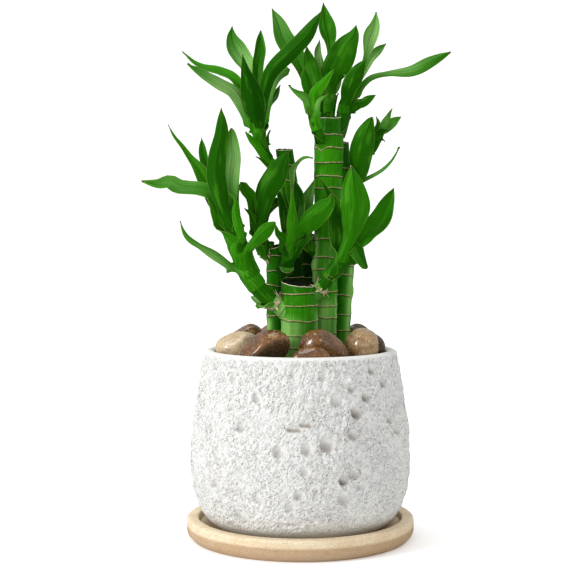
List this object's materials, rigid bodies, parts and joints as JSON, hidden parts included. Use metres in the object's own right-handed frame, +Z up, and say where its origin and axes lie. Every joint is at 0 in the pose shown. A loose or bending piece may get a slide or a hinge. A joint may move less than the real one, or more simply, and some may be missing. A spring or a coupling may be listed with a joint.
{
  "type": "potted lucky bamboo",
  "caption": "Lucky bamboo with cut canes and leafy shoots, in a round pitted concrete pot on a wooden saucer, with river pebbles over the soil.",
  "frame": {"origin": "middle of the saucer's underside", "axes": "+Z up through the pot, -Y is the front that the picture shows, +X to the right of it"},
  "size_m": [0.1503, 0.113, 0.2692],
  "materials": {
    "saucer_wood": "light oiled wood with fine grain",
    "pot_concrete": "matt white concrete with pores and pits",
    "potting_soil": "dark loose potting mix of bark and peat",
    "cane": "smooth green cane, satin, with tan leaf scars",
    "leaf": "glossy living leaf with fine veins along it",
    "pebble_cream": "polished river stone, cream",
    "pebble_tan": "polished river stone, tan",
    "pebble_brown": "polished river stone, brown",
    "pebble_dark": "polished river stone, dark brown",
    "pebble_grey": "polished river stone, grey"
  },
  "bodies": {
    "root": {"saucer": "saucer_wood", "pot": "pot_concrete", "soil": "potting_soil", "cane_front": "cane", "cane_tall": "cane", "cane_left": "cane", "cane_back_left": "cane", "cane_back_right": "cane", "cane_back": "cane", "shoot_left": "leaf", "shoot_high_left": "leaf", "shoot_inner_left": "leaf", "shoot_centre": "leaf", "shoot_right": "leaf", "shoot_back_right": "leaf", "shoot_top_right": "leaf", "shoot_top_left": "leaf", "shoot_top_back": "leaf", "shoot_middle": "leaf", "pebble_01": "pebble_cream", "pebble_02": "pebble_brown", "pebble_03": "pebble_brown", "pebble_04": "pebble_brown", "pebble_05": "pebble_tan", "pebble_06": "pebble_dark", "pebble_07": "pebble_brown", "pebble_08": "pebble_tan", "pebble_09": "pebble_grey", "pebble_10": "pebble_cream", "pebble_11": "pebble_brown", "pebble_12": "pebble_brown", "pebble_13": "pebble_grey", "pebble_14": "pebble_dark", "pebble_15": "pebble_grey", "pebble_16": "pebble_tan"}
  },
  "joints": []
}
